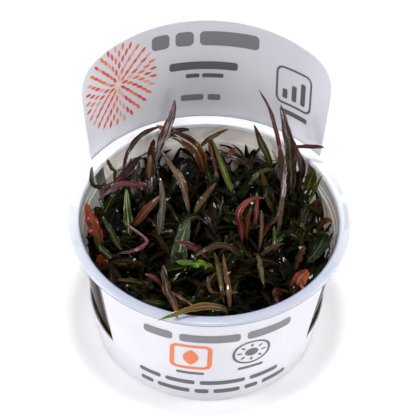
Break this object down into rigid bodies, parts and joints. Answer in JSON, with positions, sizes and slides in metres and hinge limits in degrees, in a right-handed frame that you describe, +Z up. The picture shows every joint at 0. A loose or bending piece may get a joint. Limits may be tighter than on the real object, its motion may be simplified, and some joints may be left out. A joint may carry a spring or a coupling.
{
  "type": "aquarium plant in a tissue culture cup",
  "caption": "Laboratory-grown aquarium plant: a tuft of narrow brown, mauve and green leaves in a clear open cup with gel, inside a white printed sleeve with a tall back panel.",
  "frame": {"origin": "middle of the cup's flat base, on the cup's axis", "axes": "+Z up along the cup's axis, -Y towards the front of the sleeve, +Y towards its tall back panel"},
  "size_m": [0.09, 0.0985, 0.0843],
  "materials": {
    "clear_plastic": "clear moulded plastic, thin and glossy",
    "printed_sheet": "white sheet, satin, printed on the front and on the inside of the back panel",
    "gel": "clear culture gel, wet",
    "stem": "wet plant stem",
    "small_leaf": "wet dark leaves",
    "leaf": "wet leaf with a pale midrib"
  },
  "bodies": {
    "root": {"cup": "clear_plastic", "sleeve": "printed_sheet", "culture_gel": "gel", "low_leaves": "small_leaf", "stem_1": "stem", "stem_2": "stem", "stem_3": "stem", "stem_4": "stem", "stem_5": "stem", "stem_6": "stem", "stem_7": "stem", "stem_8": "stem", "stem_9": "stem", "stem_10": "stem", "leaf_tall_left": "leaf", "leaf_arched_left": "leaf", "leaf_yellow_tipped": "leaf", "leaf_upright_left": "leaf", "leaf_hooked": "leaf", "leaf_small_back_left": "leaf", "leaf_magenta": "leaf", "leaf_long_mauve": "leaf", "leaf_orange_middle": "leaf", "leaf_brown_middle": "leaf", "leaf_broad_left": "leaf", "leaf_green_striped": "leaf", "leaf_curled_pink": "leaf", "leaf_broad_grey": "leaf", "leaf_green_upright": "leaf", "leaf_thin_back": "leaf", "leaf_green_right": "leaf", "leaf_tallest": "leaf", "leaf_thin_mauve": "leaf", "leaf_level_red": "leaf", "leaf_dark_striped": "leaf", "leaf_rounded_olive": "leaf", "leaf_small_green_right": "leaf", "leaf_arched_grey": "leaf", "leaf_olive_upright": "leaf", "leaf_coral_curl": "leaf", "leaf_pink_upright": "leaf", "leaf_orange_right": "leaf", "leaf_rounded_dark": "leaf", "leaf_dark_magenta": "leaf", "leaf_arched_green": "leaf", "leaf_bright_green": "leaf", "leaf_front_upright": "leaf", "leaf_front_long": "leaf", "leaf_over_rim": "leaf", "leaf_small_pink": "leaf", "leaf_short_brown": "leaf", "leaf_folded_salmon": "leaf", "leaf_rounded_mauve": "leaf", "leaf_mauve_right": "leaf", "leaf_brown_right": "leaf", "leaf_brown_pink": "leaf", "leaf_thin_brown": "leaf", "leaf_small_orange": "leaf", "leaf_green_low": "leaf", "leaf_upright_front_left": "leaf"}
  },
  "joints": []
}
